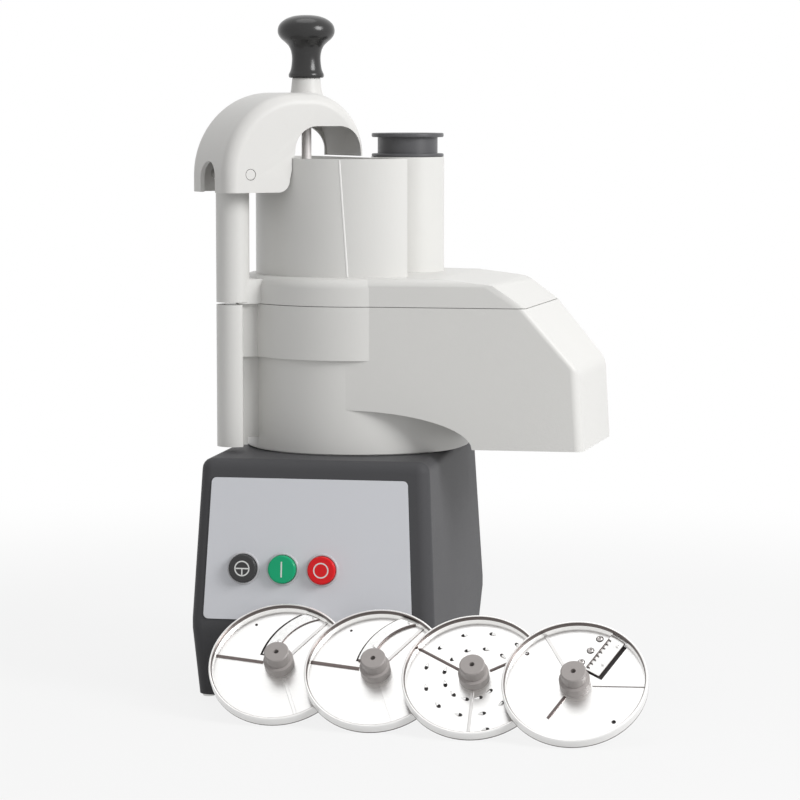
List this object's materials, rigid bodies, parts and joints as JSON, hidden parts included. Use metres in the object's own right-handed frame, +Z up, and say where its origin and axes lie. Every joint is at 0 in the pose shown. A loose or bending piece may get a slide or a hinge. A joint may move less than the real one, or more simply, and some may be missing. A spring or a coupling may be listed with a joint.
{
  "type": "electric vegetable cutter",
  "caption": "Countertop vegetable cutter: motor base with push buttons, bowl with side chute, feed lid with arched pusher arm and knob, and loose cutting discs.",
  "frame": {"origin": "point on the worktop under the drive axis of the motor", "axes": "+Z up along the drive axis, +X towards the discharge chute, -Y towards the control panel"},
  "size_m": [0.3899, 0.3984, 0.549],
  "materials": {
    "housing_plastic": "fine grain moulded",
    "bottom_plate": "satin",
    "foot_rubber": "matte",
    "screw_steel": "plated",
    "panel_film": "satin",
    "ring_plastic": "gloss",
    "black_button": "gloss",
    "green_button": "gloss",
    "red_button": "gloss",
    "switch_plastic": "satin",
    "board_green": "satin",
    "capacitor_can": "drawn",
    "black_plastic": "satin",
    "bell_alloy": "cast",
    "core_steel": "laminated",
    "winding_copper": "varnished",
    "bearing_steel": "ground",
    "shaft_steel": "ground",
    "fan_plastic": "satin",
    "bowl_plastic": "satin moulded",
    "arm_plastic": "satin moulded",
    "pusher_plastic": "satin moulded",
    "knob_plastic": "gloss",
    "magnet_ferrite": "sintered",
    "disc_steel": "polished",
    "blade_steel": "ground",
    "hub_plastic": "satin moulded"
  },
  "bodies": {
    "base": {"motor_housing": "housing_plastic", "base_plate": "bottom_plate", "rubber_feet": "foot_rubber", "shaft_seal": "foot_rubber", "foot_screws": "screw_steel", "housing_screws": "screw_steel", "motor_bolts": "screw_steel", "julienne_screws": "screw_steel", "disc_rivets": "screw_steel", "control_panel": "panel_film", "button_rings": "ring_plastic", "switch_block": "switch_plastic", "control_board": "board_green", "run_capacitor": "capacitor_can", "reed_switch": "black_plastic", "cord_gland": "black_plastic", "upper_end_bell": "bell_alloy", "lower_end_bell": "bell_alloy", "stator_core": "core_steel", "stator_windings": "winding_copper", "upper_bearing": "bearing_steel", "lower_bearing": "bearing_steel", "bowl": "bowl_plastic", "thin_slicer_plate": "disc_steel", "thick_slicer_plate": "disc_steel", "grater_plate": "disc_steel", "julienne_plate": "disc_steel", "thin_slicer_blade": "blade_steel", "thick_slicer_blade": "blade_steel", "julienne_blade": "blade_steel", "julienne_comb": "blade_steel", "thin_slicer_hub": "hub_plastic", "thick_slicer_hub": "hub_plastic", "grater_hub": "hub_plastic", "julienne_hub": "hub_plastic"},
    "rotor": {"rotor_core": "core_steel", "motor_shaft": "shaft_steel", "cooling_fan": "fan_plastic", "ejector_plate": "bowl_plastic"},
    "lid": {"lid": "bowl_plastic"},
    "small_pusher": {"small_pusher": "pusher_plastic"},
    "arm": {"pusher_arm": "arm_plastic", "arm_pin": "shaft_steel", "guide_rod": "shaft_steel", "rod_magnet": "magnet_ferrite", "pusher_stem": "shaft_steel", "pusher_foot": "bowl_plastic", "knob": "knob_plastic"},
    "pulse_button": {"pulse_button": "black_button"},
    "start_button": {"start_button": "green_button"},
    "stop_button": {"stop_button": "red_button"}
  },
  "joints": [
    {"name": "rotor_spin", "type": "hinge", "parent": "base", "child": "rotor", "pos_m": [0, 0, 0.25], "axis": [0, 0, 1], "continuous": true},
    {"name": "lid_lift", "type": "slide", "parent": "base", "child": "lid", "axis": [0, 0, 1], "range_m": [0, 0.25]},
    {"name": "arm_lift", "type": "slide", "parent": "lid", "child": "arm", "axis": [0, 0, 1], "range_m": [0, 0.13]},
    {"name": "small_pusher_lift", "type": "slide", "parent": "lid", "child": "small_pusher", "axis": [0, 0, 1], "range_m": [0, 0.14]},
    {"name": "pulse_press", "type": "slide", "parent": "base", "child": "pulse_button", "axis": [0, 0.995, -0.1], "range_m": [0, 0.003], "stiffness_N_per_m": 600},
    {"name": "start_press", "type": "slide", "parent": "base", "child": "start_button", "axis": [0, 0.995, -0.1], "range_m": [0, 0.003], "stiffness_N_per_m": 600},
    {"name": "stop_press", "type": "slide", "parent": "base", "child": "stop_button", "axis": [0, 0.995, -0.1], "range_m": [0, 0.003], "stiffness_N_per_m": 600}
  ]
}
